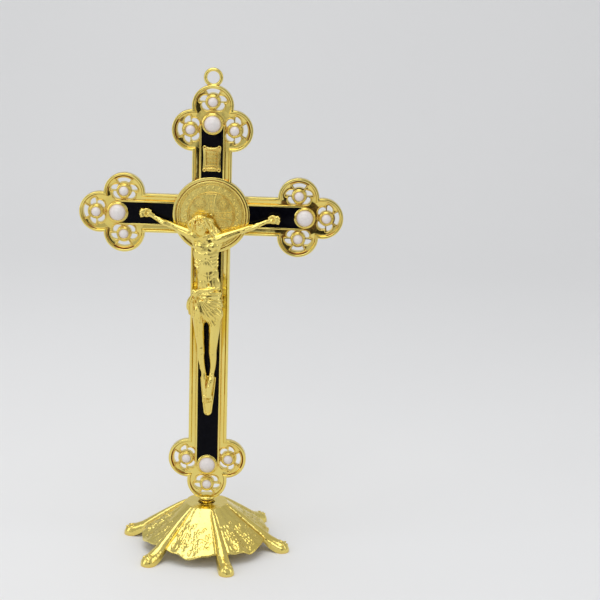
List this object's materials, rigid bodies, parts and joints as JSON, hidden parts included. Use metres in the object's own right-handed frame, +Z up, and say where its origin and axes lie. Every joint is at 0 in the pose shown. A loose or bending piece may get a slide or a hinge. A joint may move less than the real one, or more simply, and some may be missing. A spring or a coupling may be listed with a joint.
{
  "type": "altar cross",
  "caption": "Standing gold-plated altar cross with trefoil ends, black enamel, half-pearls, a medal and a cast figure, screwed into a hollow footed base.",
  "frame": {"origin": "on the ground, on the axis of the threaded stud, under the middle of the base", "axes": "+Z up along the cross, the front with the figure faces -Y, +X to the viewer's right"},
  "size_m": [0.116, 0.0754, 0.2198],
  "materials": {
    "gold_plate": "bright gold plating on a die casting",
    "gold_matte": "gold plating on a struck medal",
    "gold_base": "bright gold plating over a hammered casting",
    "black_enamel": "glossy black enamel fill",
    "pearl": "pearl lustre",
    "nut_steel": "plain steel nut"
  },
  "bodies": {
    "base": {"base": "gold_base", "captive_nut": "nut_steel"},
    "stud": {"threaded_stud": "gold_plate"},
    "cross": {"corpus": "gold_plate", "cross_frame": "gold_plate", "enamel_left": "black_enamel", "enamel_post": "black_enamel", "enamel_right": "black_enamel", "enamel_top": "black_enamel", "footrest": "gold_plate", "medal": "gold_matte", "pearl_large_left": "pearl", "pearl_large_post": "pearl", "pearl_large_right": "pearl", "pearl_large_top": "pearl", "pearl_left_outer": "pearl", "pearl_left_side_a": "pearl", "pearl_left_side_b": "pearl", "pearl_post_outer": "pearl", "pearl_post_side_a": "pearl", "pearl_post_side_b": "pearl", "pearl_right_outer": "pearl", "pearl_right_side_a": "pearl", "pearl_right_side_b": "pearl", "pearl_top_outer": "pearl", "pearl_top_side_a": "pearl", "pearl_top_side_b": "pearl", "title_scroll": "gold_plate"}
  },
  "joints": [
    {"name": "stud_rise", "type": "slide", "parent": "base", "child": "stud", "axis": [0, 0, 1], "range_m": [-0.00121, 0.00481]},
    {"name": "cross_turn", "type": "hinge", "parent": "stud", "child": "cross", "pos_m": [0, 0, 0.0216], "axis": [0, 0, 1], "range_deg": [-540, 2160]}
  ],
  "couplings": [
    {"joint": "stud_rise", "follows": "cross_turn", "m_per_rad": 0.00012732}
  ]
}
